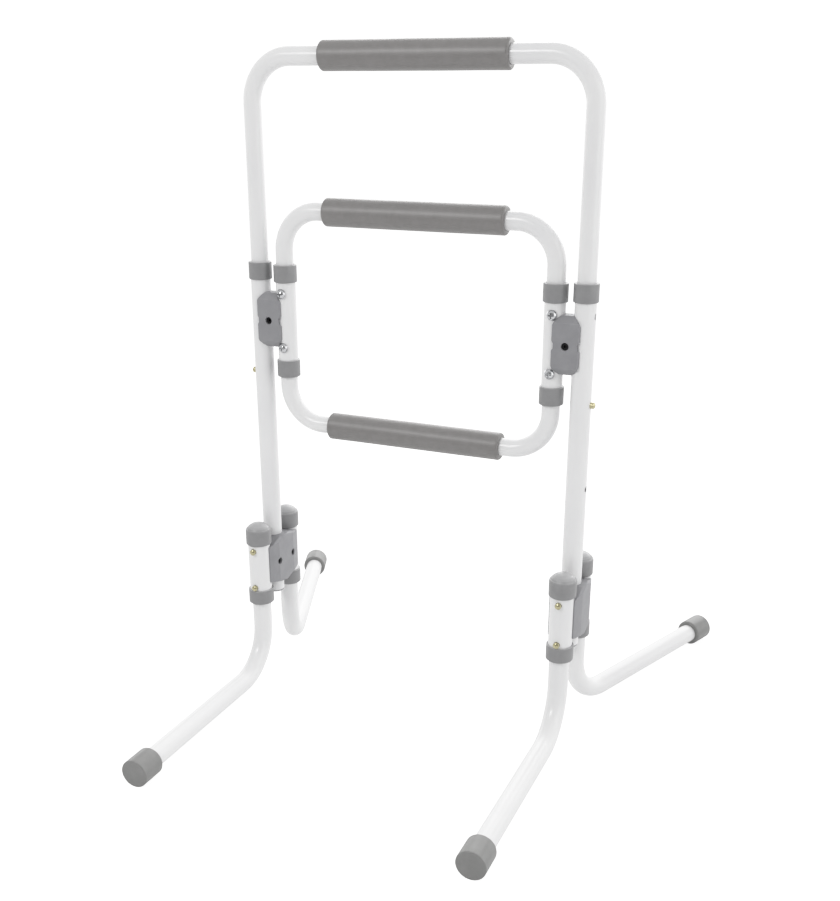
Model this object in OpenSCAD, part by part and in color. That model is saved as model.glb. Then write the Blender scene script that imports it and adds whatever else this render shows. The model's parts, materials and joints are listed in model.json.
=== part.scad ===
// Couch standing aid. An upper handle telescopes in two posts and locks with snap buttons.
// A middle grip loop is clamped between the posts, and four J-shaped legs stand in sleeves
// that are clamped to the posts. Millimetres, +Z up.
// The origin is on the floor, at the middle of the footprint.

/* [Frame] */
// Distance between the axes of the two posts
post_spacing = 432; // [424:1:450]
// Height of the upper handle's bar axis above the floor
handle_height = 823; // [815:1:850]
// Height of the posts' lower ends above the floor
post_base = 122; // [120:1:126]
// Length of a post tube
post_len = 455; // [450:1:462]
// Wall of a post tube
post_wall = 1.3; // [1.2:0.1:1.6]

/* [Upper handle] */
// Outer diameter of the handle tube
handle_od = 22.2; // [21.8:0.1:22.4]
// Wall of the handle tube
handle_wall = 1.4; // [1:0.1:1.8]
// Bend radius of the handle tube, at its axis
handle_bend = 53; // [45:1:60]
// Length of the handle's uprights below their snap buttons
handle_tail = 66.5; // [50:0.5:80]
// Height of the middle lock holes above the posts' lower ends
lock_rise = 314.5; // [310:0.5:318]
// Distance between the lock holes of a post
height_pitch = 105; // [100:1:110]

/* [Grip loop] */
// Outer diameter of the loop tubes
loop_od = 22.2; // [21.8:0.1:22.4]
// Wall of the loop tubes
loop_wall = 1.4; // [1:0.1:1.8]
// Bend radius of the loop tubes, at their axis
loop_bend = 49; // [42:1:54]
// Height of the loop's upper bar axis above the loop sleeves
loop_rise = 69.5; // [65:0.5:75]
// Depth of the loop's lower bar axis below the loop sleeves
loop_fall = 64; // [60:0.5:70]
// Wall of the sleeves that join the two loop tubes
loop_sleeve_wall = 1.3; // [1.2:0.1:1.6]
// Length of a loop sleeve
loop_sleeve_len = 139; // [136:0.5:142]
// Free space between a post and a loop sleeve
loop_gap = 11.1; // [10:0.1:13]
// Gap between the ends of the upper and lower loop tubes, inside a sleeve
loop_joint_gap = 12; // [6:0.5:16]
// Distance of a loop screw's axis past the shoulder of its clamp
screw_room = 11.2; // [11.1:0.1:14]

/* [Grips] */
// Bare straight of the loop's bars at each end of their grips. All grips have one length
grip_margin = 12.5; // [5:0.5:20]
// Outer diameter of the grips
grip_od = 34.6; // [33:0.2:40]
// Rounding of a grip's ends
grip_round = 3; // [1:0.5:5]

/* [Legs] */
// Outer diameter of a leg tube
leg_od = 25.4; // [25:0.1:25.8]
// Wall of a leg tube
leg_wall = 1.6; // [1.2:0.1:2]
// Bend radius of a leg, at its axis
leg_bend = 62; // [52:1:70]
// Distance from a front leg's upright axis to the end of its tip
front_reach = 307; // [280:1:330]
// Distance from a rear leg's upright axis to the end of its tip
rear_reach = 318; // [290:1:330]
// Angle that each rear leg turns outwards
rear_splay = 21.5; // [15:0.5:28]
// Wall of a leg sleeve
leg_sleeve_wall = 2; // [1.7:0.1:2.4]
// Length that the leg sleeves reach below the posts
leg_sleeve_drop = 2; // [0:0.5:6]
// Length of a leg sleeve
leg_sleeve_len = 102; // [101:0.5:104]
// Free space between a post and a leg sleeve
leg_gap = 10.3; // [9.5:0.1:12]
// Distance of the upper snap buttons below a leg cap
leg_button_down = 8; // [5:0.5:12]
// Distance of the lower snap buttons above a leg collar
leg_button_up = 4.6; // [4.2:0.1:8]

/* [Rubber tips] */
// Thickness of the rubber round the tube
tip_wall = 5.3; // [4.8:0.1:7]
// Length of a tip
tip_len = 35; // [33:1:46]
// Thickness of the rubber under the tube's end
tip_base = 8; // [6:0.5:12]
// Depth of the flat that a tip rests on
tip_flat = 0.5; // [0.3:0.1:1]

/* [Collars and caps] */
// Height of a collar on a post or a loop sleeve
collar_h = 22; // [20:0.5:23]
// Height of a collar on a leg sleeve
leg_collar_h = 20; // [18:0.5:20]
// Thickness of a collar's or cap's wall round its tube
collar_wall = 2.1; // [1.6:0.1:2.4]
// Lip of a collar past its tube's end
collar_lip = 2.6; // [2:0.1:4]
// Height of a leg cap's skirt
cap_skirt = 18.5; // [17:0.5:20]
// Height of a leg cap's dome
cap_dome = 11.7; // [9:0.1:13]

/* [Clamps] */
// Height of a loop clamp
loop_clamp_h = 70; // [66:1:74]
// Thickness of a loop clamp in front of the tubes
loop_clamp_wall = 3.3; // [2.6:0.1:5]
// Height of a loop clamp's middle above its sleeve's middle
loop_clamp_lift = 1.5; // [0:0.5:4]
// Free post between a loop clamp and the collar above it
loop_clamp_room = 15.6; // [13:0.2:18]
// Extra height of a leg clamp's middle, at its top and at its bottom
leg_clamp_rise = 8; // [5:0.5:9]
// Thickness of a leg clamp's edges in front of the sleeves
leg_clamp_wall = 1.4; // [1.2:0.1:3]
// Bulge of a leg clamp's face past its edges
leg_clamp_bulge = 4.6; // [3.5:0.1:6]
// Free sleeve between a leg clamp's edge and the collar below it
leg_clamp_under = 9.6; // [9:0.2:12]
// Free sleeve between a leg clamp's edge and the cap above it
leg_clamp_above = 5; // [3:0.2:7]

/* [Fasteners] */
// Diameter of the clamp bolts
bolt_d = 6; // [5:0.5:6]
// Diameter of a loop screw's head
screw_head_d = 13; // [10:0.2:13]
// Height of a loop screw's head
screw_head_h = 4.6; // [3:0.2:6]
// Diameter of a snap button
button_d = 7.8; // [6:0.2:8]
// Length that a snap button stands out of its post
button_out = 5.5; // [4:0.5:7]

/* [Hidden] */
$fn = 64;
left = -1;
right = 1;
front = -1;
rear = 1;
quarter = 90;
half_turn = 180;

// Clearances and overruns
slide_fit = 0.3;
seat_fit = 0.15;
hole_fit = 0.4;
part_gap = 0.8;
over = 1;
room = 400;

// Colours
steel_white = [0.93, 0.93, 0.93];
foam_grey = [0.56, 0.56, 0.55];
plastic_grey = [0.53, 0.53, 0.55];
rubber_grey = [0.58, 0.58, 0.58];
chrome = [0.80, 0.81, 0.83];
zinc_yellow = [0.74, 0.69, 0.42];
black_steel = [0.14, 0.14, 0.15];

// Tubes that slide in each other
post_bore = handle_od + 2 * slide_fit;
post_od = post_bore + 2 * post_wall;
loop_bore = loop_od + 2 * slide_fit;
loop_sleeve_od = loop_bore + 2 * loop_sleeve_wall;
leg_bore = leg_od + 2 * slide_fit;
leg_sleeve_od = leg_bore + 2 * leg_sleeve_wall;
tip_od = leg_od + 2 * tip_wall;

// Posts and handle
half_spacing = post_spacing / 2;
post_top = post_base + post_len;
height_button_z = post_base + lock_rise;
handle_end = height_button_z - handle_tail;

// The loop hangs from its clamps, and the clamps hang below the posts' collars
loop_x = half_spacing - post_od / 2 - loop_gap - loop_sleeve_od / 2;
loop_clamp_x = half_spacing - post_od / 2 - loop_gap / 2;
loop_clamp_z = post_top + collar_lip - collar_h - loop_clamp_room - loop_clamp_h / 2;
loop_mid = loop_clamp_z - loop_clamp_lift;
loop_sleeve_base = loop_mid - loop_sleeve_len / 2;
loop_sleeve_top = loop_mid + loop_sleeve_len / 2;
loop_top = loop_sleeve_top + loop_rise;
loop_bottom = loop_sleeve_base - loop_fall;
grip_len = 2 * (loop_x - loop_bend - grip_margin);

// The leg sleeves hang on the posts' lower ends, and the leg clamps fit between their collars and caps
sleeve_y = post_od / 2 + leg_gap + leg_sleeve_od / 2;
leg_axis_z = tip_od / 2 - tip_flat;
leg_sleeve_base = post_base - leg_sleeve_drop;
leg_sleeve_top = leg_sleeve_base + leg_sleeve_len;
leg_collar_top = leg_sleeve_base + leg_collar_h - collar_lip;
leg_cap_low = leg_sleeve_top - cap_skirt;
leg_button_high = leg_cap_low - leg_button_down;
leg_button_low = leg_collar_top + leg_button_up;
leg_clamp_low = leg_collar_top + leg_clamp_under;
leg_clamp_edge_h = leg_cap_low - leg_clamp_above - leg_clamp_low;
leg_clamp_h = leg_clamp_edge_h + 2 * leg_clamp_rise;
leg_clamp_z = leg_clamp_low + leg_clamp_edge_h / 2;

// Tip details
tip_round = 1.6;
tip_mouth_round = 3;

// The footprint's middle is the origin, so the posts stand a little off it
front_extent = sleeve_y + front_reach;
rear_extent = sleeve_y + (rear_reach - tip_round) * cos(rear_splay)
  + (tip_od / 2 - tip_round) * sin(rear_splay) + tip_round;
post_y = (front_extent - rear_extent) / 2;

// Leg tube inside its sleeve
leg_top_gap = 8;
leg_top = leg_sleeve_top - leg_top_gap;

// Steps of a rounded corner in an outline
round_steps = 3;

// Collar and cap details
collar_edge = 1;
cap_od = leg_sleeve_od + 2 * collar_wall + 2 * seat_fit;
cap_crease = 1;
cap_crease_angle = 17;
cap_steps = 6;
end_cap_flange = 2.4;
end_cap_plug = 12;
end_cap_wall = 2;

// Loop screws
screw_d = 5;
screw_reach = 9;
screw_slot_w = 1.6;
screw_slot_len = 7;
screw_slot_depth = 2.2;

// Clamp details
loop_clamp_inset = 0.95;
loop_clamp_w = (post_od + loop_sleeve_od) / 2 + loop_gap - 2 * loop_clamp_inset;
loop_clamp_t = max(post_od, loop_sleeve_od) / 2 + loop_clamp_wall;
loop_clamp_corner_w = 7.5;
loop_clamp_corner_h = 11.5;
screw_offset = loop_clamp_h / 2 - loop_clamp_corner_h + screw_room;
loop_clamp_bevel = 8;
loop_clamp_edge = 3;
loop_clamp_round = 1.2;
loop_clamp_notch_w = 13;
loop_clamp_notch_in = 6;
loop_clamp_notch_d = 2.8;
leg_clamp_edge_t = leg_sleeve_od / 2 + leg_clamp_wall;
leg_clamp_t = leg_clamp_edge_t + leg_clamp_bulge;
leg_clamp_slant_share = 0.7;
leg_clamp_curve_share = 0.5;
leg_clamp_bevel = 3;
leg_clamp_round = 1.2;
leg_clamp_over = 0.5;
leg_clamp_w = sleeve_y + leg_clamp_over;
bolt_head_d = 9;
bolt_head_h = 5;
bolt_socket = 4.6;
bolt_socket_depth = 3;
bolt_sink = 8;
insert_d = 8;
insert_len = 9;

// Snap buttons and their springs. A button is the same part in the posts and in the legs
spring_w = 8;
spring_t = 0.8;
spring_len = 34;
spring_inset = 1;
spring_step = 0.1;
handle_spring_x = spring_reach(handle_od / 2 - handle_wall);
leg_spring_x = spring_reach(leg_od / 2 - leg_wall);
button_base = handle_spring_x + seat_fit;
button_len = post_od / 2 + button_out - button_base;
button_dome = 1.6;

// Distance of a leaf spring's face from its tube's axis, so that its corners clear the bore, in whole steps
function spring_reach(bore_r) =
  spring_step * floor((sqrt(pow(bore_r, 2) - pow(spring_w / 2, 2)) - slide_fit) / spring_step);

function unit(v) = v / norm(v);

function turned(v, a) = [v[0] * cos(a) - v[1] * sin(a), v[0] * sin(a) + v[1] * cos(a)];

// Points of an arc that rounds the corner at p, between the sides to a and b
function corner(a, p, b, r) =
  let (u = unit(a - p), v = unit(b - p))
  let (half = acos(u * v) / 2, middle = p + unit(u + v) * r / sin(half))
  let (start = p + u * r / tan(half) - middle)
  let (sweep = sign(u[1] * v[0] - u[0] * v[1]) * (half_turn - 2 * half))
  [for (i = [0:round_steps]) middle + turned(start, sweep * i / round_steps)];

// Points of an outline whose corners are all rounded
function rounded(points, r) =
  let (n = len(points))
  [for (i = [0:n - 1]) each corner(points[(i + n - 1) % n], points[i], points[(i + 1) % n], r)];

// Outline of a rectangle with cut corners, from its half sizes and the size of the cuts
function cut_box(w, h, cut_w, cut_h) = [
  [w - cut_w, -h], [w, cut_h - h], [w, h - cut_h], [w - cut_w, h],
  [cut_w - w, h], [-w, h - cut_h], [-w, cut_h - h], [cut_w - w, -h]
];

// Puts children in the plane of the posts
module at_posts() {
  translate([0, post_y, 0]) children();
}

// Puts children on a post's axis
module at_post(side) {
  at_posts() translate([side * half_spacing, 0, 0]) children();
}

// Puts children on a loop sleeve's axis
module at_loop(side) {
  at_posts() translate([side * loop_x, 0, 0]) children();
}

// Puts children on a leg's upright axis, turned so that the leg runs along -Y
module at_leg(side, end) {
  turn = end == front ? 0 : half_turn - side * rear_splay;
  at_posts()
    translate([side * half_spacing, end * sleeve_y, 0])
      rotate([0, 0, turn]) children();
}

module ring(od, id) {
  difference() {
    circle(d = od);
    circle(d = id);
  }
}

// A rectangle from the origin, with round corners
module soft_square(size, r) {
  translate([r, 0]) square([size[0] - 2 * r, size[1]]);
  translate([0, r]) square([size[0], size[1] - 2 * r]);
  for (x = [r, size[0] - r], y = [r, size[1] - r]) translate([x, y]) circle(r = r);
}

module tube(len, od, id) {
  linear_extrude(height = len) ring(od, id);
}

// A quarter bend of a tube, round the Z axis from +X to +Y
module bend(radius, od, id) {
  rotate_extrude(angle = quarter) translate([radius, 0]) ring(od, id);
}

// A bar along X with both ends bent down into uprights
module u_tube(half_w, drop, radius, od, wall) {
  id = od - 2 * wall;
  straight = half_w - radius;
  translate([-straight, 0, 0]) rotate([0, quarter, 0]) tube(2 * straight, od, id);
  for (side = [left, right]) mirror([side < 0 ? 1 : 0, 0, 0]) {
    translate([straight, 0, -radius]) rotate([quarter, 0, 0]) bend(radius, od, id);
    translate([half_w, 0, -drop]) tube(drop - radius, od, id);
  }
}

// A hole along X, from the axis outwards
module side_hole(d, len) {
  rotate([0, quarter, 0]) cylinder(d = d, h = len);
}

// A hole along -Y, from the axis outwards
module front_hole(d, len) {
  rotate([quarter, 0, 0]) cylinder(d = d, h = len);
}

module handle_tube() {
  color(steel_white) difference() {
    at_posts() translate([0, 0, handle_height])
      u_tube(half_spacing, handle_height - handle_end, handle_bend, handle_od, handle_wall);
    for (side = [left, right]) at_post(side) translate([0, 0, height_button_z])
      mirror([side < 0 ? 1 : 0, 0, 0]) side_hole(button_d + hole_fit, handle_od);
  }
}

// A foam grip along X, with rounded ends
module grip(bore) {
  wall = (grip_od - bore) / 2;
  rotate([0, quarter, 0]) rotate_extrude() {
    translate([bore / 2, grip_round - grip_len / 2]) square([wall, grip_len - 2 * grip_round]);
    translate([bore / 2, -grip_len / 2]) square([wall - grip_round, grip_len]);
    for (end = [-1, 1])
      translate([grip_od / 2 - grip_round, end * (grip_len / 2 - grip_round)]) circle(r = grip_round);
  }
}

module handle_grip() {
  color(foam_grey) at_posts() translate([0, 0, handle_height])
    grip(handle_od + 2 * seat_fit);
}

module loop_grip(height) {
  color(foam_grey) at_posts() translate([0, 0, height])
    grip(loop_od + 2 * seat_fit);
}

// A hairpin leaf spring in the XZ plane. Its outer leaf faces +X, at the button's height
module hairpin(reach) {
  inner = reach - spring_t;
  bend_z = reach - spring_len;
  top = button_d / 2 + spring_inset;
  rotate([quarter, 0, 0]) translate([0, 0, -spring_w / 2]) linear_extrude(height = spring_w) difference() {
    union() {
      translate([0, bend_z]) circle(r = reach);
      translate([-reach, bend_z]) square([2 * reach, top - bend_z]);
    }
    translate([0, bend_z]) circle(r = inner);
    translate([-inner, bend_z]) square([2 * inner, top - bend_z + over]);
  }
}

// A domed snap button along +X, from its spring outwards
module snap_button(base) {
  shank = button_len - button_dome;
  dome_r = (pow(button_d / 2, 2) + pow(button_dome, 2)) / (2 * button_dome);
  translate([base, 0, 0]) rotate([0, quarter, 0]) {
    cylinder(d = button_d, h = shank);
    translate([0, 0, shank]) intersection() {
      translate([0, 0, button_dome - dome_r]) sphere(r = dome_r);
      cylinder(d = button_d, h = button_dome);
    }
  }
}

module height_spring(side) {
  color(chrome) at_post(side) translate([0, 0, height_button_z])
    mirror([side < 0 ? 1 : 0, 0, 0]) hairpin(handle_spring_x);
}

module height_button(side) {
  color(zinc_yellow) at_post(side) translate([0, 0, height_button_z])
    mirror([side < 0 ? 1 : 0, 0, 0]) snap_button(button_base);
}

module post(side) {
  color(steel_white) at_post(side) difference() {
    translate([0, 0, post_base]) tube(post_len, post_od, post_bore);
    for (step = [-1, 0, 1]) translate([0, 0, height_button_z + step * height_pitch])
      mirror([side < 0 ? 1 : 0, 0, 0]) side_hole(button_d + hole_fit, post_od);
  }
}

// A collar on a tube's upper end at z = 0, with a lip round the tube that comes out of it
module collar(outer_tube, inner_tube, height) {
  seat = outer_tube / 2 + seat_fit;
  lip = inner_tube / 2 + slide_fit;
  rotate_extrude() difference() {
    translate([lip, collar_lip - height]) soft_square([seat + collar_wall - lip, height], collar_edge);
    translate([lip - over, -height]) square([seat - lip + over, height]);
  }
}

module post_collars() {
  color(plastic_grey) for (side = [left, right])
    at_post(side) translate([0, 0, post_top]) collar(post_od, handle_od, collar_h);
}

module post_end_caps() {
  plug_r = post_bore / 2 - seat_fit;
  color(plastic_grey) for (side = [left, right]) at_post(side) translate([0, 0, post_base])
    rotate_extrude() polygon([
      [0, -end_cap_flange], [post_od / 2 - collar_edge, -end_cap_flange],
      [post_od / 2, collar_edge - end_cap_flange], [post_od / 2, 0], [plug_r, 0],
      [plug_r, end_cap_plug], [plug_r - end_cap_wall, end_cap_plug], [plug_r - end_cap_wall, 0], [0, 0]
    ]);
}

// One half of the loop: a U of tube with screw holes in its two uprights
module loop_half(bar_z, way) {
  drop = (way > 0 ? loop_top - loop_mid : loop_mid - loop_bottom) - loop_joint_gap / 2;
  color(steel_white) at_posts() difference() {
    translate([0, 0, bar_z]) mirror([0, 0, way > 0 ? 0 : 1])
      u_tube(loop_x, drop, loop_bend, loop_od, loop_wall);
    for (side = [left, right]) translate([side * loop_x, 0, loop_clamp_z + way * screw_offset])
      front_hole(screw_d + hole_fit, loop_od);
  }
}

module loop_sleeve(side) {
  color(steel_white) at_loop(side) difference() {
    translate([0, 0, loop_sleeve_base]) tube(loop_sleeve_len, loop_sleeve_od, loop_bore);
    for (way = [-1, 1]) translate([0, 0, loop_clamp_z + way * screw_offset])
      front_hole(screw_d + hole_fit, loop_sleeve_od);
  }
}

module loop_collars(way) {
  color(plastic_grey) for (side = [left, right]) at_loop(side)
    translate([0, 0, way > 0 ? loop_sleeve_top : loop_sleeve_base])
      mirror([0, 0, way > 0 ? 0 : 1]) collar(loop_sleeve_od, loop_od, collar_h);
}

// A pan-head screw with a cross recess, along +Y from the sleeve's front
module pan_screw() {
  dome_r = (pow(screw_head_d / 2, 2) + pow(screw_head_h, 2)) / (2 * screw_head_h);
  seat = loop_sleeve_od / 2 + seat_fit;
  translate([0, -seat, 0]) rotate([quarter, 0, 0]) {
    translate([0, 0, -screw_reach]) cylinder(d = screw_d, h = screw_reach);
    difference() {
      intersection() {
        translate([0, 0, screw_head_h - dome_r]) sphere(r = dome_r);
        cylinder(d = screw_head_d, h = screw_head_h);
      }
      for (turn = [0, quarter]) rotate([0, 0, turn])
        translate([-screw_slot_len / 2, -screw_slot_w / 2, screw_head_h - screw_slot_depth])
          cube([screw_slot_len, screw_slot_w, screw_slot_depth + over]);
    }
  }
}

module loop_screws() {
  color(chrome) for (side = [left, right], way = [-1, 1])
    at_loop(side) translate([0, 0, loop_clamp_z + way * screw_offset]) pan_screw();
}

// The face of a loop clamp in X and Z, with cut corners and a notch in each side
module loop_clamp_face() {
  w = loop_clamp_w / 2;
  h = loop_clamp_h / 2;
  in = w - loop_clamp_corner_w;
  up = h - loop_clamp_corner_h;
  wide = loop_clamp_notch_w / 2;
  flat = loop_clamp_notch_in / 2;
  deep = w - loop_clamp_notch_d;
  polygon(rounded([
    [in, -h], [w, -up], [w, -wide], [deep, -flat], [deep, flat], [w, wide], [w, up], [in, h],
    [-in, h], [-w, up], [-w, wide], [-deep, flat], [-deep, -flat], [-w, -wide], [-w, -up], [-in, -h]
  ], loop_clamp_round));
}

// A long bar along X, 2 * t thick and 2 * h high, with bevelled edges
module bevelled_bar(t, h, bevel, r) {
  rotate([quarter, 0, quarter]) translate([0, 0, -room]) linear_extrude(height = 2 * room)
    polygon(rounded(cut_box(t, h, bevel, bevel), r));
}

// Both halves of a loop clamp as one block: its face, its round long edges, and bevels along its ends
module loop_clamp_block() {
  w = loop_clamp_w / 2;
  t = loop_clamp_t;
  intersection() {
    rotate([quarter, 0, 0]) translate([0, 0, -room]) linear_extrude(height = 2 * room) loop_clamp_face();
    translate([0, 0, -room]) linear_extrude(height = 2 * room)
      polygon(rounded([[-w, -t], [w, -t], [w, t], [-w, t]], loop_clamp_edge));
    bevelled_bar(t, loop_clamp_h / 2, loop_clamp_bevel, loop_clamp_round);
  }
}

// Half of a loop clamp, on the -Y side of the tubes, with a saddle for each tube
module loop_clamp_body() {
  h = loop_clamp_h / 2;
  difference() {
    loop_clamp_block();
    translate([-room, -part_gap / 2, -room]) cube([2 * room, room, 2 * room]);
    translate([loop_gap / 2 + post_od / 2, 0, -h - over])
      cylinder(d = post_od + 2 * seat_fit, h = loop_clamp_h + 2 * over);
    translate([-loop_gap / 2 - loop_sleeve_od / 2, 0, -h - over])
      cylinder(d = loop_sleeve_od + 2 * seat_fit, h = loop_clamp_h + 2 * over);
  }
}

module at_loop_clamp(side) {
  at_posts() translate([side * loop_clamp_x, 0, loop_clamp_z])
    mirror([side < 0 ? 1 : 0, 0, 0]) children();
}

module loop_clamp_front(side) {
  color(plastic_grey) at_loop_clamp(side) difference() {
    loop_clamp_body();
    front_hole(bolt_d + hole_fit, loop_clamp_t + over);
    translate([0, bolt_sink - loop_clamp_t, 0]) front_hole(bolt_head_d + hole_fit, bolt_sink + over);
  }
}

module loop_clamp_back(side) {
  color(plastic_grey) at_loop_clamp(side) difference() {
    mirror([0, 1, 0]) loop_clamp_body();
    translate([0, part_gap / 2 + insert_len + seat_fit, 0])
      front_hole(insert_d + 2 * seat_fit, insert_len + part_gap + over);
  }
}

// A socket-head bolt along +Z, with its head's underside at z = 0 and its shank below
module socket_bolt(shank) {
  difference() {
    cylinder(d = bolt_head_d, h = bolt_head_h);
    translate([0, 0, bolt_head_h - bolt_socket_depth])
      cylinder(d = bolt_socket, h = bolt_socket_depth + over, $fn = 6);
  }
  translate([0, 0, -shank]) cylinder(d = bolt_d, h = shank);
}

// A threaded insert, moulded into a clamp half
module threaded_insert() {
  tube(insert_len, insert_d, bolt_d + hole_fit);
}

module loop_clamp_bolts() {
  shank = loop_clamp_t - bolt_sink + part_gap / 2 + insert_len;
  color(black_steel) for (side = [left, right]) at_loop_clamp(side)
    translate([0, bolt_sink - loop_clamp_t, 0]) rotate([quarter, 0, 0]) socket_bolt(shank);
}

module loop_clamp_inserts() {
  color(zinc_yellow) for (side = [left, right]) at_loop_clamp(side)
    translate([0, part_gap / 2 + insert_len, 0]) rotate([quarter, 0, 0]) threaded_insert();
}

// Distance from the middle to a line that falls by h along w and passes through the point p
function line_reach(p, w, h) = (p[0] * h + p[1] * w) / norm([w, h]);

// Both halves of a leg clamp as one block: its outline, its bulge along Y, and bevels along its slants
module leg_clamp_block() {
  w = leg_clamp_w;
  h = leg_clamp_h / 2;
  t = leg_clamp_t;
  slant = w * leg_clamp_slant_share;
  curve = w * leg_clamp_curve_share;
  slope = atan(leg_clamp_rise / slant);
  edge = line_reach([w - slant, h], slant, leg_clamp_rise);
  intersection() {
    rotate([quarter, 0, quarter]) translate([0, 0, -room]) linear_extrude(height = 2 * room)
      polygon(rounded(cut_box(w, h, slant, leg_clamp_rise), leg_clamp_round));
    translate([0, 0, -room]) linear_extrude(height = 2 * room)
      polygon(rounded(cut_box(t, w, leg_clamp_bulge, curve), leg_clamp_round));
    rotate([slope, 0, 0]) rotate([0, 0, quarter]) bevelled_bar(t, edge, leg_clamp_bevel, leg_clamp_round);
    rotate([-slope, 0, 0]) rotate([0, 0, quarter]) bevelled_bar(t, edge, leg_clamp_bevel, leg_clamp_round);
  }
}

// Half of a leg clamp, on the +X side of the tubes, with three saddles and room for the leg caps
module leg_clamp_body() {
  h = leg_clamp_h / 2;
  difference() {
    leg_clamp_block();
    translate([part_gap / 2 - room, -room, -room]) cube([room, 2 * room, 2 * room]);
    translate([0, 0, -h - over]) cylinder(d = post_od + 2 * seat_fit, h = leg_clamp_h + 2 * over);
    for (end = [front, rear]) translate([0, end * sleeve_y, 0]) {
      translate([0, 0, -h - over]) cylinder(d = leg_sleeve_od + 2 * seat_fit, h = leg_clamp_h + 2 * over);
      translate([0, 0, leg_cap_low - leg_clamp_z - slide_fit])
        cylinder(d = cap_od + 2 * slide_fit, h = leg_clamp_h);
    }
  }
}

// Puts children at a leg clamp, with the half that children draw on the inner or outer side
module at_leg_clamp(side, way) {
  at_post(side) translate([0, 0, leg_clamp_z]) mirror([side * way < 0 ? 1 : 0, 0, 0]) children();
}

// Puts children at each bolt of a leg clamp, in the gaps between its tubes
module at_leg_bolts() {
  for (end = [front, rear]) translate([0, end * (post_od + leg_gap) / 2, 0]) children();
}

module leg_clamp_inner(side) {
  color(plastic_grey) at_leg_clamp(side, -1) difference() {
    leg_clamp_body();
    at_leg_bolts() {
      side_hole(bolt_d + hole_fit, leg_clamp_t + over);
      translate([leg_clamp_t - bolt_sink, 0, 0]) side_hole(bolt_head_d + hole_fit, bolt_sink + over);
    }
  }
}

module leg_clamp_outer(side) {
  color(plastic_grey) at_leg_clamp(side, 1) difference() {
    leg_clamp_body();
    at_leg_bolts() side_hole(insert_d + 2 * seat_fit, part_gap / 2 + insert_len + seat_fit);
  }
}

module leg_clamp_bolts() {
  shank = leg_clamp_t - bolt_sink + part_gap / 2 + insert_len;
  color(black_steel) for (side = [left, right]) at_leg_clamp(side, -1) at_leg_bolts()
    translate([leg_clamp_t - bolt_sink, 0, 0]) rotate([0, quarter, 0]) socket_bolt(shank);
}

module leg_clamp_inserts() {
  color(zinc_yellow) for (side = [left, right]) at_leg_clamp(side, 1) at_leg_bolts()
    translate([part_gap / 2, 0, 0]) rotate([0, quarter, 0]) threaded_insert();
}

// Puts children at both button heights of a leg
module at_leg_buttons() {
  for (z = [leg_button_low, leg_button_high]) translate([0, 0, z]) children();
}

module leg_sleeve(side, end) {
  color(steel_white) at_leg(side, end) difference() {
    translate([0, 0, leg_sleeve_base]) tube(leg_sleeve_len, leg_sleeve_od, leg_bore);
    at_leg_buttons() front_hole(button_d + hole_fit, leg_sleeve_od);
  }
}

// A leg: an upright in the sleeve, a bend, and a run along the floor
module leg(side, end) {
  id = leg_od - 2 * leg_wall;
  reach = end == front ? front_reach : rear_reach;
  bend_top = leg_axis_z + leg_bend;
  color(steel_white) at_leg(side, end) difference() {
    union() {
      translate([0, 0, bend_top]) tube(leg_top - bend_top, leg_od, id);
      translate([0, -leg_bend, bend_top]) rotate([-quarter, 0, quarter]) bend(leg_bend, leg_od, id);
      translate([0, -leg_bend, leg_axis_z]) rotate([quarter, 0, 0])
        tube(reach - tip_base - leg_bend, leg_od, id);
    }
    at_leg_buttons() front_hole(button_d + hole_fit, leg_od);
  }
}

// A rubber tip round the end of a leg, with a flat to stand on
module tip(side, end) {
  reach = end == front ? front_reach : rear_reach;
  bore = leg_od / 2 + seat_fit;
  depth = tip_len - tip_base;
  r = tip_od / 2;
  color(rubber_grey) at_leg(side, end) difference() {
    translate([0, tip_len - reach, leg_axis_z]) rotate([quarter, 0, 0]) rotate_extrude() difference() {
      intersection() {
        translate([-r, 0]) soft_square([2 * r, tip_len], tip_round);
        translate([-r, 0]) soft_square([2 * r, 2 * tip_len], tip_mouth_round);
        square([r, tip_len]);
      }
      translate([-over, -over]) square([bore + over, depth + over]);
    }
    translate([-room, -room, -room]) cube([2 * room, 2 * room, room]);
  }
}

// Points of a flat dome's outline from one angle to another, on an ellipse with half axes r and h
function dome_points(r, h, from, to) =
  [for (i = [0:cap_steps]) let (a = from + (to - from) * i / cap_steps) [r * cos(a), h * sin(a)]];

// A cap on a leg sleeve's top: a skirt with a round shoulder, and a flat dome inside a crease
module leg_cap() {
  seat = leg_sleeve_od / 2 + seat_fit;
  r = cap_od / 2;
  rotate_extrude() polygon(concat(
    [[0, 0], [seat, 0], [seat, -cap_skirt], [r - collar_edge, -cap_skirt], [r, collar_edge - cap_skirt]],
    dome_points(r, cap_dome, 0, cap_crease_angle),
    dome_points(r - cap_crease, cap_dome, cap_crease_angle, quarter)
  ));
}

module leg_caps() {
  color(plastic_grey) for (side = [left, right], end = [front, rear])
    at_leg(side, end) translate([0, 0, leg_sleeve_top]) leg_cap();
}

module leg_collars() {
  color(plastic_grey) for (side = [left, right], end = [front, rear])
    at_leg(side, end) translate([0, 0, leg_sleeve_base])
      mirror([0, 0, 1]) collar(leg_sleeve_od, leg_od, leg_collar_h);
}

module leg_springs(side, end) {
  color(chrome) at_leg(side, end) at_leg_buttons() rotate([0, 0, -quarter]) hairpin(leg_spring_x);
}

module leg_button(side, end, z) {
  color(zinc_yellow) at_leg(side, end) translate([0, 0, z])
    rotate([0, 0, -quarter]) snap_button(leg_spring_x + seat_fit);
}

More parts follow.
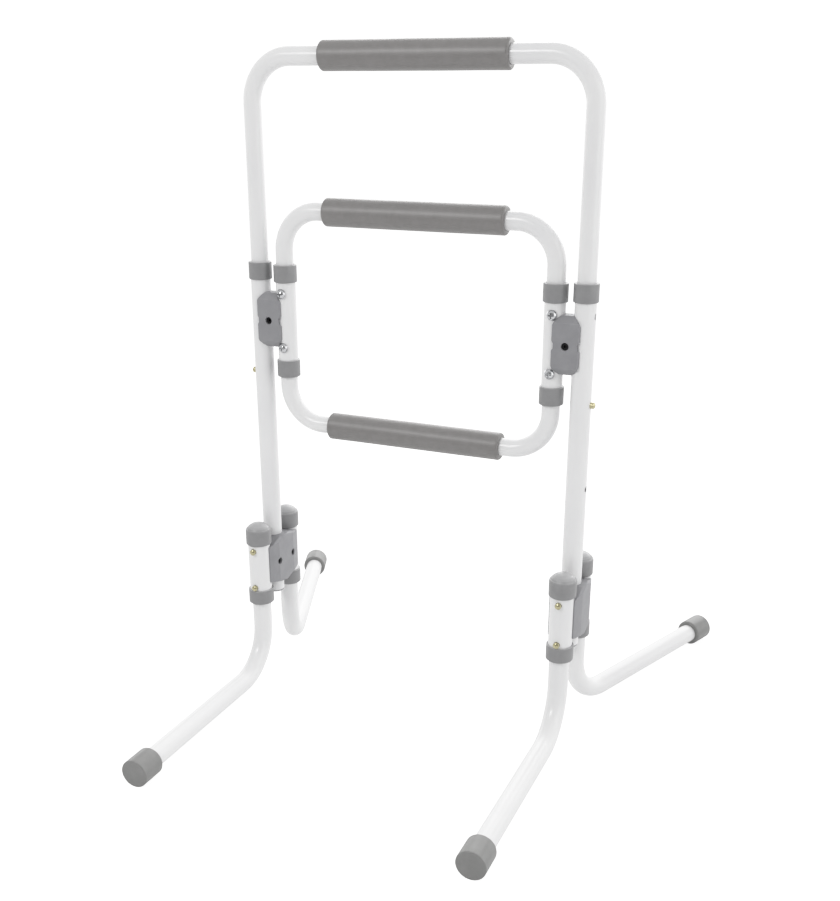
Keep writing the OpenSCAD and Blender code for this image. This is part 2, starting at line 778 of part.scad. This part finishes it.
handle_tube();
handle_grip();
height_spring(left);  // height_spring_left
height_spring(right);  // height_spring_right
height_button(left);  // height_button_left
height_button(right);  // height_button_right
post(left);  // post_left
post(right);  // post_right
post_collars();
post_end_caps();
loop_half(loop_top, 1);  // loop_upper_tube
loop_half(loop_bottom, -1);  // loop_lower_tube
loop_grip(loop_top);  // loop_upper_grip
loop_grip(loop_bottom);  // loop_lower_grip
loop_sleeve(left);  // loop_sleeve_left
loop_sleeve(right);  // loop_sleeve_right
loop_collars(1);  // loop_upper_collars
loop_collars(-1);  // loop_lower_collars
loop_screws();
loop_clamp_front(left);  // loop_clamp_front_left
loop_clamp_front(right);  // loop_clamp_front_right
loop_clamp_back(left);  // loop_clamp_back_left
loop_clamp_back(right);  // loop_clamp_back_right
loop_clamp_bolts();
loop_clamp_inserts();
leg_clamp_inner(left);  // leg_clamp_inner_left
leg_clamp_inner(right);  // leg_clamp_inner_right
leg_clamp_outer(left);  // leg_clamp_outer_left
leg_clamp_outer(right);  // leg_clamp_outer_right
leg_clamp_bolts();
leg_clamp_inserts();
leg_sleeve(left, front);  // leg_sleeve_front_left
leg_sleeve(right, front);  // leg_sleeve_front_right
leg_sleeve(left, rear);  // leg_sleeve_rear_left
leg_sleeve(right, rear);  // leg_sleeve_rear_right
leg_caps();
leg_collars();
leg(left, front);  // leg_front_left
leg(right, front);  // leg_front_right
leg(left, rear);  // leg_rear_left
leg(right, rear);  // leg_rear_right
tip(left, front);  // tip_front_left
tip(right, front);  // tip_front_right
tip(left, rear);  // tip_rear_left
tip(right, rear);  // tip_rear_right
leg_springs(left, front);  // leg_springs_front_left
leg_springs(right, front);  // leg_springs_front_right
leg_springs(left, rear);  // leg_springs_rear_left
leg_springs(right, rear);  // leg_springs_rear_right
leg_button(left, front, leg_button_high);  // leg_button_front_left_upper
leg_button(left, front, leg_button_low);  // leg_button_front_left_lower
leg_button(right, front, leg_button_high);  // leg_button_front_right_upper
leg_button(right, front, leg_button_low);  // leg_button_front_right_lower
leg_button(left, rear, leg_button_high);  // leg_button_rear_left_upper
leg_button(left, rear, leg_button_low);  // leg_button_rear_left_lower
leg_button(right, rear, leg_button_high);  // leg_button_rear_right_upper
leg_button(right, rear, leg_button_low);  // leg_button_rear_right_lower
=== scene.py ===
import json
import math

import bmesh
import bpy
import numpy as np
from mathutils import Matrix, Vector


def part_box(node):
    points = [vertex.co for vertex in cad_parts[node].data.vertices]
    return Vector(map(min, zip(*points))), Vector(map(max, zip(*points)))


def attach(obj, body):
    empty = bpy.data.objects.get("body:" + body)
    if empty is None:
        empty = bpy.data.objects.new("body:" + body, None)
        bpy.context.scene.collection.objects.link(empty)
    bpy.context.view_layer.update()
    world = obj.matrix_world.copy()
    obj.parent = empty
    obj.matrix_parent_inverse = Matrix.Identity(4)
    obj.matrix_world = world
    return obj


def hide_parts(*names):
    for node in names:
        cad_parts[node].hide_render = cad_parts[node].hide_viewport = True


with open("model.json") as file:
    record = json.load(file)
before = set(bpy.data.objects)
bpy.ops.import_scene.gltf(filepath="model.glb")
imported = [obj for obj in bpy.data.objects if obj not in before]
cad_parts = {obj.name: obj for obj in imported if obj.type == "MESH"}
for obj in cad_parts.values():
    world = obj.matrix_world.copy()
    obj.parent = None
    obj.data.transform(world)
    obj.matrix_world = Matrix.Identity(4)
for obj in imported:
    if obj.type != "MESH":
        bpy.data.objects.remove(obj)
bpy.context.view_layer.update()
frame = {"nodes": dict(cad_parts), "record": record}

tau = 2 * math.pi
mm = 0.001
weldWithin = 1e-6  # CAD corners closer than this, in metres, are one corner
doublesWithin = 1e-7  # and so are those of a new mesh
print("frame loaded:", len(frame["nodes"]), "nodes")


# Tools that the finishes and pieces use
def hexLinear(code):  # sRGB hex to linear RGBA: the curve's lowest part is a line, the rest a power of 2.4
    channels = [int(code[i:i + 2], 16) / 255 for i in (1, 3, 5)]
    return [c / 12.92 if c <= 0.04045 else ((c + 0.055) / 1.055) ** 2.4 for c in channels] + [1.0]


def addNode(tree, kind, sockets=None, stops=(), **props):  # a node with properties, values, links and stops
    node = tree.nodes.new("ShaderNode" + kind)
    for key, value in props.items():
        setattr(node, key, value)
    for key, value in (sockets or {}).items():
        if isinstance(value, bpy.types.NodeSocket):
            tree.links.new(value, node.inputs[key])
        else:
            node.inputs[key].default_value = value
    for i, (place, code) in enumerate(stops):  # a new ramp has two marks
        mark = node.color_ramp.elements[i]
        mark.position = place
        mark.color = hexLinear(code)
    return node


def newFinish(name, **values):  # a material with its shader, and the Object coordinates its patterns read
    material = bpy.data.materials.new(name)
    material.use_nodes = True
    tree = material.node_tree
    tree.nodes.clear()
    shader = addNode(tree, "BsdfPrincipled", {key.replace("_", " "): value for key, value in values.items()})
    addNode(tree, "OutputMaterial", {"Surface": shader.outputs["BSDF"]})
    place = addNode(tree, "TexCoord").outputs["Object"]
    return material, tree, shader, place


def ringMesh(name, grid, finish, sharp):
    # points[row, column, xyz] that close on themselves both ways: quads between neighbours, doubles merged
    rows, columns = grid.shape[:2]
    row, column = np.arange(rows)[:, None], np.arange(columns)[None, :]
    nextRow, nextColumn = (row + 1) % rows, (column + 1) % columns
    corners = [row * columns + column, row * columns + nextColumn,
               nextRow * columns + nextColumn, nextRow * columns + column]
    faces = np.stack(np.broadcast_arrays(*corners), -1).reshape(-1, 4)
    mesh = bpy.data.meshes.new(name)
    mesh.from_pydata(grid.reshape(-1, 3).tolist(), [], faces.tolist())
    work = bmesh.new()
    work.from_mesh(mesh)
    bmesh.ops.remove_doubles(work, verts=work.verts, dist=doublesWithin)
    bmesh.ops.recalc_face_normals(work, faces=work.faces)
    work.to_mesh(mesh)
    work.free()
    mesh.polygons.foreach_set("use_smooth", np.ones(len(mesh.polygons), bool))
    mesh.set_sharp_from_angle(angle=math.radians(sharp))
    mesh.materials.append(finish)
    piece = bpy.data.objects.new(name, mesh)
    bpy.context.scene.collection.objects.link(piece)
    return piece


def arc(centre, radius, start, end, steps):  # points of a circle from one angle to another, in degrees
    a = np.radians(np.linspace(start, end, steps))
    return np.stack([centre[0] + radius * np.cos(a), centre[1] + radius * np.sin(a)], -1)


def dress(name, finish, crisp):
    # a CAD piece keeps its shape: live modifiers join its triangles and smooth its round faces, and an edge
    # that turns by more than crisp degrees stays an edge
    piece = frame["nodes"][name]
    piece.data.materials.clear()
    piece.data.materials.append(finish)
    piece.data.polygons.foreach_set("use_smooth", np.ones(len(piece.data.polygons), bool))
    weld = piece.modifiers.new("join", "WELD")
    weld.merge_threshold = weldWithin
    split = piece.modifiers.new("edges", "EDGE_SPLIT")
    split.split_angle = math.radians(crisp)


# White polyester powder coat baked on steel tube: an even, neutral white with soft satin reflections and a
# faint orange-peel ripple of about 1.5 mm, drawn at 2.5 mm so that it shows
powderCoat, tree, shader, place = newFinish("powder_coated_steel", Roughness=0.24, IOR=1.5)
tone = addNode(tree, "TexNoise", {"Vector": place, "Scale": 1 / (90 * mm), "Detail": 3.0})
tint = addNode(tree, "ValToRGB", {"Fac": tone.outputs["Fac"]}, [(0.3, "#DBDBDC"), (0.7, "#E0E0E0")])
peel = addNode(tree, "TexNoise", {"Vector": place, "Scale": 1 / (2.5 * mm), "Detail": 1.0})
bump = addNode(tree, "Bump", {"Height": peel.outputs["Fac"], "Strength": 0.12, "Distance": 0.05 * mm})
tree.links.new(tint.outputs["Color"], shader.inputs["Base Color"])
tree.links.new(bump.outputs["Normal"], shader.inputs["Normal"])

# Extruded closed-cell rubber foam: mid grey with a satin skin that takes one soft band of light, small pores
# of about 0.6 mm drawn at 1.4 mm, and a slow mottle where the skin is denser
foam, tree, shader, place = newFinish("closed_cell_foam", Roughness=0.42, IOR=1.5, Sheen_Weight=0.05,
                                      Sheen_Roughness=0.5)
mottle = addNode(tree, "TexNoise", {"Vector": place, "Scale": 1 / (9 * mm), "Detail": 4.0, "Roughness": 0.6})
tint = addNode(tree, "ValToRGB", {"Fac": mottle.outputs["Fac"]}, [(0.3, "#767473"), (0.7, "#7D7B7A")])
pores = addNode(tree, "TexVoronoi", {"Vector": place, "Scale": 1 / (1.4 * mm)}, feature="F1")
bump = addNode(tree, "Bump", {"Height": pores.outputs["Distance"], "Strength": 0.2, "Distance": 0.12 * mm})
tree.links.new(tint.outputs["Color"], shader.inputs["Base Color"])
tree.links.new(bump.outputs["Normal"], shader.inputs["Normal"])

# Injection-moulded nylon: cool grey, half matt from a spark-eroded mould of 0.4 mm grain drawn at 1.1 mm
nylon, tree, shader, place = newFinish("moulded_nylon", Roughness=0.5, IOR=1.53)
flow = addNode(tree, "TexNoise", {"Vector": place, "Scale": 1 / (16 * mm), "Detail": 3.0, "Distortion": 0.6})
tint = addNode(tree, "ValToRGB", {"Fac": flow.outputs["Fac"]}, [(0.3, "#838386"), (0.7, "#8A8A8D")])
grain = addNode(tree, "TexNoise", {"Vector": place, "Scale": 1 / (1.1 * mm), "Detail": 2.0})
bump = addNode(tree, "Bump", {"Height": grain.outputs["Fac"], "Strength": 0.2, "Distance": 0.08 * mm})
tree.links.new(tint.outputs["Color"], shader.inputs["Base Color"])
tree.links.new(bump.outputs["Normal"], shader.inputs["Normal"])

# Moulded polyethylene collars and caps: a plain grey with a waxy, satin skin, painted paler where faces look
# up as a painted top light. The painted light runs between two values of the normal's height
paintedTopLight = {"from": 0.15, "to": 0.8, "paintedLit": "#A4A4A5"}
polyethylene, tree, shader, place = newFinish("moulded_polyethylene", Roughness=0.42, IOR=1.51)
flow = addNode(tree, "TexNoise", {"Vector": place, "Scale": 1 / (12 * mm), "Detail": 3.0})
tint = addNode(tree, "ValToRGB", {"Fac": flow.outputs["Fac"]}, [(0.3, "#818182"), (0.7, "#888889")])
up = addNode(tree, "SeparateXYZ", {"Vector": addNode(tree, "NewGeometry").outputs["Normal"]})
topLightShare = addNode(tree, "MapRange", {"Value": up.outputs["Z"], "From Min": paintedTopLight["from"],
                                  "From Max": paintedTopLight["to"]})
# painted top light: a paler grey is mixed in where the normal points up
topLitTint = addNode(tree, "MixRGB", {"Fac": topLightShare.outputs["Result"], "Color1": tint.outputs["Color"],
                                 "Color2": hexLinear(paintedTopLight["paintedLit"])})
grain = addNode(tree, "TexNoise", {"Vector": place, "Scale": 1 / (1.6 * mm), "Detail": 1.0})
bump = addNode(tree, "Bump", {"Height": grain.outputs["Fac"], "Strength": 0.1, "Distance": 0.05 * mm})
tree.links.new(topLitTint.outputs["Color"], shader.inputs["Base Color"])
tree.links.new(bump.outputs["Normal"], shader.inputs["Normal"])

# Compression-moulded grey rubber: a shade darker than the plastics, satin, with a bloom in 15 mm patches
rubber, tree, shader, place = newFinish("moulded_rubber", Roughness=0.38, IOR=1.52)
bloom = addNode(tree, "TexNoise", {"Vector": place, "Scale": 1 / (15 * mm), "Detail": 5.0, "Roughness": 0.6})
tint = addNode(tree, "ValToRGB", {"Fac": bloom.outputs["Fac"]}, [(0.3, "#767675"), (0.7, "#7E7E7D")])
grain = addNode(tree, "TexNoise", {"Vector": place, "Scale": 1 / (1.2 * mm), "Detail": 2.0})
bump = addNode(tree, "Bump", {"Height": grain.outputs["Fac"], "Strength": 0.25, "Distance": 0.1 * mm})
tree.links.new(tint.outputs["Color"], shader.inputs["Base Color"])
tree.links.new(bump.outputs["Normal"], shader.inputs["Normal"])

# Steel with yellow-passivated zinc: a pale greenish gold that drifts over a few millimetres, softly shiny
yellowZinc, tree, shader, place = newFinish("yellow_passivated_zinc", Metallic=1.0, Roughness=0.3)
drift = addNode(tree, "TexNoise", {"Vector": place, "Scale": 1 / (3 * mm), "Detail": 2.0})
tint = addNode(tree, "ValToRGB", {"Fac": drift.outputs["Fac"]}, [(0.3, "#ABA482"), (0.7, "#C4BE9C")])
tree.links.new(tint.outputs["Color"], shader.inputs["Base Color"])

# Turned brass: warm yellow with fine tool marks of about 0.2 mm, drawn as a speckle of 0.5 mm
brass, tree, shader, place = newFinish("turned_brass", Metallic=1.0, Roughness=0.28)
marks = addNode(tree, "TexNoise", {"Vector": place, "Scale": 1 / (0.5 * mm), "Detail": 1.0})
tint = addNode(tree, "ValToRGB", {"Fac": marks.outputs["Fac"]}, [(0.2, "#B88F45"), (0.8, "#D0AA60")])
tree.links.new(tint.outputs["Color"], shader.inputs["Base Color"])

# Rolled spring steel: blue-grey and satin, with fine rolling marks drawn as an even speckle of 0.8 mm
springSteel, tree, shader, place = newFinish("rolled_spring_steel", Metallic=1.0, Roughness=0.34)
marks = addNode(tree, "TexNoise", {"Vector": place, "Scale": 1 / (0.8 * mm), "Detail": 2.0})
tint = addNode(tree, "ValToRGB", {"Fac": marks.outputs["Fac"]}, [(0.3, "#8D9096"), (0.7, "#A9ACB1")])
tree.links.new(tint.outputs["Color"], shader.inputs["Base Color"])

# Bright nickel plate: a near mirror, faintly hazed
nickel, tree, shader, place = newFinish("bright_nickel_plate", Metallic=1.0, Roughness=0.12)
haze = addNode(tree, "TexNoise", {"Vector": place, "Scale": 1 / (2 * mm), "Detail": 2.0})
tint = addNode(tree, "ValToRGB", {"Fac": haze.outputs["Fac"]}, [(0.3, "#B9BABC"), (0.7, "#CFD0D2")])
tree.links.new(tint.outputs["Color"], shader.inputs["Base Color"])

# Black-oxide steel: almost black, oily satin
blackOxide, tree, shader, place = newFinish("black_oxide_steel", Metallic=0.9, Roughness=0.4)
film = addNode(tree, "TexNoise", {"Vector": place, "Scale": 1 / (1.5 * mm), "Detail": 2.0})
tint = addNode(tree, "ValToRGB", {"Fac": film.outputs["Fac"]}, [(0.3, "#242426"), (0.7, "#38383A")])
tree.links.new(tint.outputs["Color"], shader.inputs["Base Color"])

finishOfSlot = {"white_steel": powderCoat, "foam_grip": foam, "clamp_plastic": nylon,
                "collar_plastic": polyethylene, "rubber_tip": rubber, "zinc_button": yellowZinc,
                "brass_insert": brass, "spring_steel": springSteel, "chrome_screw": nickel,
                "black_bolt": blackOxide}
print("finishes made:", len(finishOfSlot))

# degrees: most edges are plain, the clamps have shallow bevels and the caps a shallow crease under the dome
crispEdges = {"plain": 32, "slots": {"clamp_plastic": 14}, "nodes": {"leg_caps": 11.5}}
slotOfNode = {row["node"]: row["material_slot"] for row in frame["record"]["subparts"]}
for nodeName, slotName in slotOfNode.items():
    slotCrisp = crispEdges["slots"].get(slotName, crispEdges["plain"])
    dress(nodeName, finishOfSlot[slotName], crispEdges["nodes"].get(nodeName, slotCrisp))
print("CAD pieces dressed:", len(slotOfNode))

gripSettings = {"turns": 96, "lengthSteps": 140, "edgeSteps": 8, "edge": 3.0 * mm, "ripple": 0.16 * mm,
                "longWave": 37 * mm, "longStart": 1.3, "longLobes": 2, "twist": 60 * mm,
                "shortWave": 14 * mm, "shortLobes": 3, "shortShare": 0.6, "sharp": 50, "fill": 0.9,
                "nodes": {"handle_grip": "handle", "loop_upper_grip": "frame", "loop_lower_grip": "frame"}}


def boreRadius(node):  # the smallest distance of a node's corners from its own axis, which runs along X
    mesh = frame["nodes"][node].data
    flat = np.empty(len(mesh.vertices) * 3, np.float32)
    mesh.vertices.foreach_get("co", flat)
    corners = flat.reshape(-1, 3).astype(float)
    centre = (corners.min(0) + corners.max(0)) / 2
    return float(np.hypot(*(corners - centre)[:, 1:].T).min())


def foamGrip(name, node, body, s):  # s holds the settings
    # a closed profile (along the bar, away from its axis) is turned round the bar: the bore, a flat end, a
    # round edge, the outside, and back. Two waves, a long and a short one, run along the bar and round it and
    # make the outside uneven: where both are highest it is pressed in by a full ripple
    low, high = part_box(node)
    middle = [(low[i] + high[i]) / 2 for i in range(3)]
    half, outer = (high[0] - low[0]) / 2, (high[2] - low[2]) / 2
    bore, edge, steps = boreRadius(node), s["edge"], s["lengthSteps"]
    outside = np.stack([np.linspace(edge - half, half - edge, steps), np.full(steps, outer)], -1)
    profile = np.concatenate([
        [[-half, bore]], arc((edge - half, outer - edge), edge, 180, 90, s["edgeSteps"])[:-1], outside,
        arc((half - edge, outer - edge), edge, 90, 0, s["edgeSteps"])[1:], [[half, bore]]])
    x, r = profile[:, :1], profile[:, 1:]
    a = np.linspace(0, tau, s["turns"], endpoint=False)[None, :]
    wave = np.sin(x / s["longWave"] + s["longStart"]) * np.cos(s["longLobes"] * a + x / s["twist"])
    wave = wave + s["shortShare"] * np.sin(x / s["shortWave"] + s["shortLobes"] * a)
    uneven = r - s["ripple"] * (1 + wave) / (2 + s["shortShare"])
    r = np.where(np.isclose(r, bore), r + 0 * a, uneven)  # the bore stays true
    grid = np.stack([middle[0] + x + 0 * a, middle[1] + r * np.cos(a), middle[2] + r * np.sin(a)], -1)
    piece = ringMesh(name, grid, foam, s["sharp"])
    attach(piece, body)
    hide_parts(node)


for nodeName, bodyName in gripSettings["nodes"].items():
    foamGrip("foam_" + nodeName, nodeName, bodyName, gripSettings)
print("foam grips made:", len(gripSettings["nodes"]))

# metres and radians, with the focal length, middle and image in pixels and the sensor in millimetres
camera = {"beforePosts": 1.2749, "aside": 0.5588, "height": 0.7851, "pitch": 0.3628, "yaw": 0.4075,
          "roll": 0.0015, "focal": 1132.19, "middle": (420.0, 520.0), "image": (840, 901), "sensor": 36.0,
          "farthest": 50}
pitch, yaw = camera["pitch"], camera["yaw"]
postLow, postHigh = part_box("post_left")
postY = (postLow[1] + postHigh[1]) / 2
ahead = Vector((-math.sin(yaw) * math.cos(pitch), math.cos(yaw) * math.cos(pitch), -math.sin(pitch)))
aside = Vector((math.cos(yaw), math.sin(yaw), 0))
above = aside.cross(ahead)
lens = bpy.data.cameras.new("camera")
lens.sensor_width = camera["sensor"]
longSide = max(camera["image"])
lens.lens = camera["focal"] * camera["sensor"] / longSide
lens.shift_x = (camera["image"][0] / 2 - camera["middle"][0]) / longSide
lens.shift_y = (camera["middle"][1] - camera["image"][1] / 2) / longSide
lens.clip_end = camera["farthest"]
viewer = bpy.data.objects.new("camera", lens)
turn = Matrix((aside, above, -ahead)).transposed().to_4x4()
stand = Matrix.Translation((camera["aside"], postY - camera["beforePosts"], camera["height"]))
viewer.matrix_world = stand @ turn @ Matrix.Rotation(camera["roll"], 4, "Z")
bpy.context.scene.collection.objects.link(viewer)
bpy.context.scene.camera = viewer
print("camera placed")

# the white floor ends behind the camera, so bright screws mirror the darker room beyond its edge. It glows
# softly on the object, and more strongly where the camera sees it
floorSettings = {"reach": 6.0, "front": -2.0, "glow": 0.45, "seen": 1.15, "white": 0.45}
reach, front = floorSettings["reach"], floorSettings["front"]
floorCorners = [(-reach, front, 0), (reach, front, 0), (reach, reach, 0), (-reach, reach, 0)]
floorMesh = bpy.data.meshes.new("floor")
floorMesh.from_pydata(floorCorners, [], [(0, 1, 2, 3)])
floor = bpy.data.objects.new("floor", floorMesh)
bpy.context.scene.collection.objects.link(floor)
floorFinish = bpy.data.materials.new("white_floor")
floorFinish.use_nodes = True
tree = floorFinish.node_tree
tree.nodes.clear()
paint = addNode(tree, "BsdfDiffuse", {"Color": [floorSettings["white"]] * 3 + [1]})
seen = addNode(tree, "LightPath").outputs["Is Camera Ray"]
shine = addNode(tree, "MapRange", {"Value": seen, "To Min": floorSettings["glow"],
                                   "To Max": floorSettings["seen"]})
glow = addNode(tree, "Emission", {"Strength": shine.outputs["Result"]})
both = addNode(tree, "AddShader", {0: paint.outputs["BSDF"], 1: glow.outputs["Emission"]})
addNode(tree, "OutputMaterial", {"Surface": both.outputs["Shader"]})
floorMesh.materials.append(floorFinish)

panels = {
    "front_softbox": {"place": (-0.8, -1.85, 1.75), "aim": (0, 0, 0.7), "size": (1.0, 0.36), "radiance": 19},
    "back_softbox": {"place": (0.0, 1.7, 1.5), "aim": (0, 0, 0.2), "size": (2.2, 1.6), "radiance": 2.4},
    "side_softbox": {"place": (2.0, -0.4, 1.0), "aim": (0.1, 0, 0.4), "size": (1.4, 1.6), "radiance": 1.25}}
for panelName, setting in panels.items():  # a flat panel's power is its radiance times its area times pi
    lamp = bpy.data.lights.new(panelName, "AREA")
    lamp.shape = "RECTANGLE"
    lamp.size, lamp.size_y = setting["size"]
    lamp.energy = setting["radiance"] * setting["size"][0] * setting["size"][1] * math.pi
    panel = bpy.data.objects.new(panelName, lamp)
    facing = Vector(setting["aim"]) - Vector(setting["place"])
    aimed = facing.to_track_quat("-Z", "Y").to_matrix().to_4x4()
    panel.matrix_world = Matrix.Translation(setting["place"]) @ aimed
    panel.visible_camera = False
    bpy.context.scene.collection.objects.link(panel)

# a dome that is dark in front of the object, with a white paper sweep low behind it, and plain white where
# the camera sees it
dome = {"horizon": 0.84, "top": 0.9, "front": 0.35, "frontFrom": 0.35, "frontTo": 0.85, "backdrop": 1.5,
        "sweep": 1.2, "sweepFrom": 0.1, "sweepTo": 0.5, "sweepTop": 0.55, "sweepFull": 0.25}
world = bpy.data.worlds.new("studio")
world.use_nodes = True
bpy.context.scene.world = world
tree = world.node_tree
tree.nodes.clear()
heading = addNode(tree, "TexCoord").outputs["Generated"]
back = addNode(tree, "VectorMath", {0: heading, 1: (0, -1, 0)}, operation="DOT_PRODUCT")
cone = addNode(tree, "MapRange", {"Value": back.outputs["Value"], "From Min": dome["frontFrom"],
                                  "From Max": dome["frontTo"], "To Min": 1.0, "To Max": dome["front"]},
               interpolation_type="SMOOTHSTEP")
rise = addNode(tree, "SeparateXYZ", {"Vector": heading})
zenith = addNode(tree, "MapRange", {"Value": rise.outputs["Z"], "To Min": dome["horizon"],
                                    "To Max": dome["top"]})
dim = addNode(tree, "Math", {0: cone.outputs["Result"], 1: zenith.outputs["Result"]}, operation="MULTIPLY")
behind = addNode(tree, "MapRange", {"Value": back.outputs["Value"], "From Min": -dome["sweepFrom"],
                                    "From Max": -dome["sweepTo"], "To Max": dome["sweep"]})
low = addNode(tree, "MapRange", {"Value": rise.outputs["Z"], "From Min": dome["sweepTop"],
                                 "From Max": dome["sweepFull"]})
level = addNode(tree, "Math", {0: behind.outputs["Result"], 1: low.outputs["Result"],
                               2: dim.outputs["Value"]}, operation="MULTIPLY_ADD")
seen = addNode(tree, "LightPath").outputs["Is Camera Ray"]
light = addNode(tree, "Background", {"Color": (1, 1, 1, 1), "Strength": level.outputs["Value"]})
plain = addNode(tree, "Background", {"Color": (1, 1, 1, 1), "Strength": dome["backdrop"]})
mixed = addNode(tree, "MixShader", {0: seen, 1: light.outputs["Background"], 2: plain.outputs["Background"]})
addNode(tree, "OutputWorld", {"Surface": mixed.outputs["Shader"]})

# a soft shoulder, as film has: lit sides of the white tubes stay below paper white
shoulder = [(0, 0), (0.6, 0.6), (0.8, 0.775), (1.0, 0.88), (1.2, 0.955), (1.4, 1)]
look = bpy.context.scene.view_settings
look.view_transform = "Standard"
look.use_curve_mapping = True
look.curve_mapping.clip_max_x = shoulder[-1][0]
bend = look.curve_mapping.curves[3]  # the curve that all three channels share
bend.points[0].location, bend.points[1].location = shoulder[0], shoulder[-1]
for x, y in shoulder[1:-1]:
    bend.points.new(x, y)
look.curve_mapping.update()
print("studio ready")
